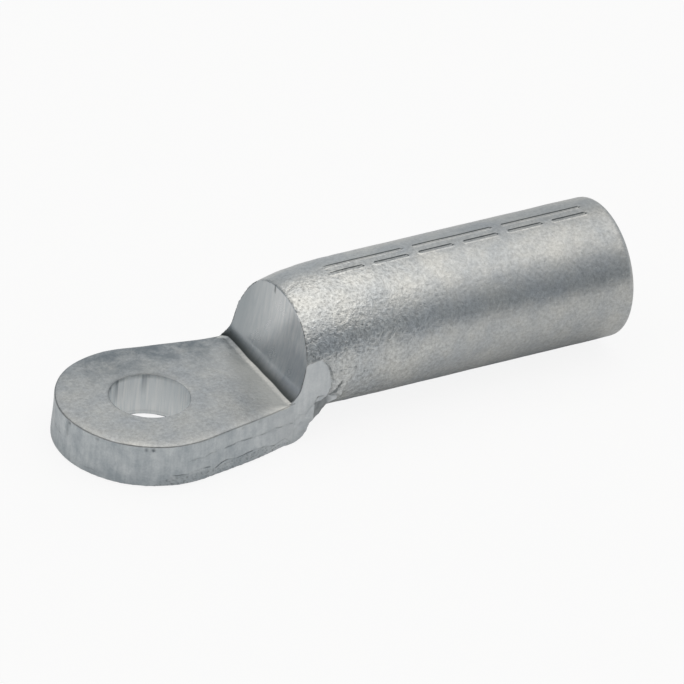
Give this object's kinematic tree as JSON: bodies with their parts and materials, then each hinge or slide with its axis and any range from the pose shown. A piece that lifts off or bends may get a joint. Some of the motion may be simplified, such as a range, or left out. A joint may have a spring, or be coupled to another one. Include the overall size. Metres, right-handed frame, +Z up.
{
  "type": "aluminium cable lug",
  "caption": "Forged aluminium compression cable lug: round barrel with a blind conductor bore, bent-down nose and steep shoulder, and a flat tapered palm with a bolt hole.",
  "frame": {"origin": "the bolt hole's axis where it meets the palm's contact face (its flat underside)", "axes": "+Z up along the bolt hole away from the contact face, +X along the barrel from the bolt hole to its open end, +Y to the left when looking along +X"},
  "size_m": [0.0982, 0.03, 0.0235],
  "materials": {
    "tumbled_aluminium": "tumbled bare aluminium, satin, lightly mottled and pitted"
  },
  "bodies": {
    "root": {"cable_lug": "tumbled_aluminium"}
  },
  "joints": []
}
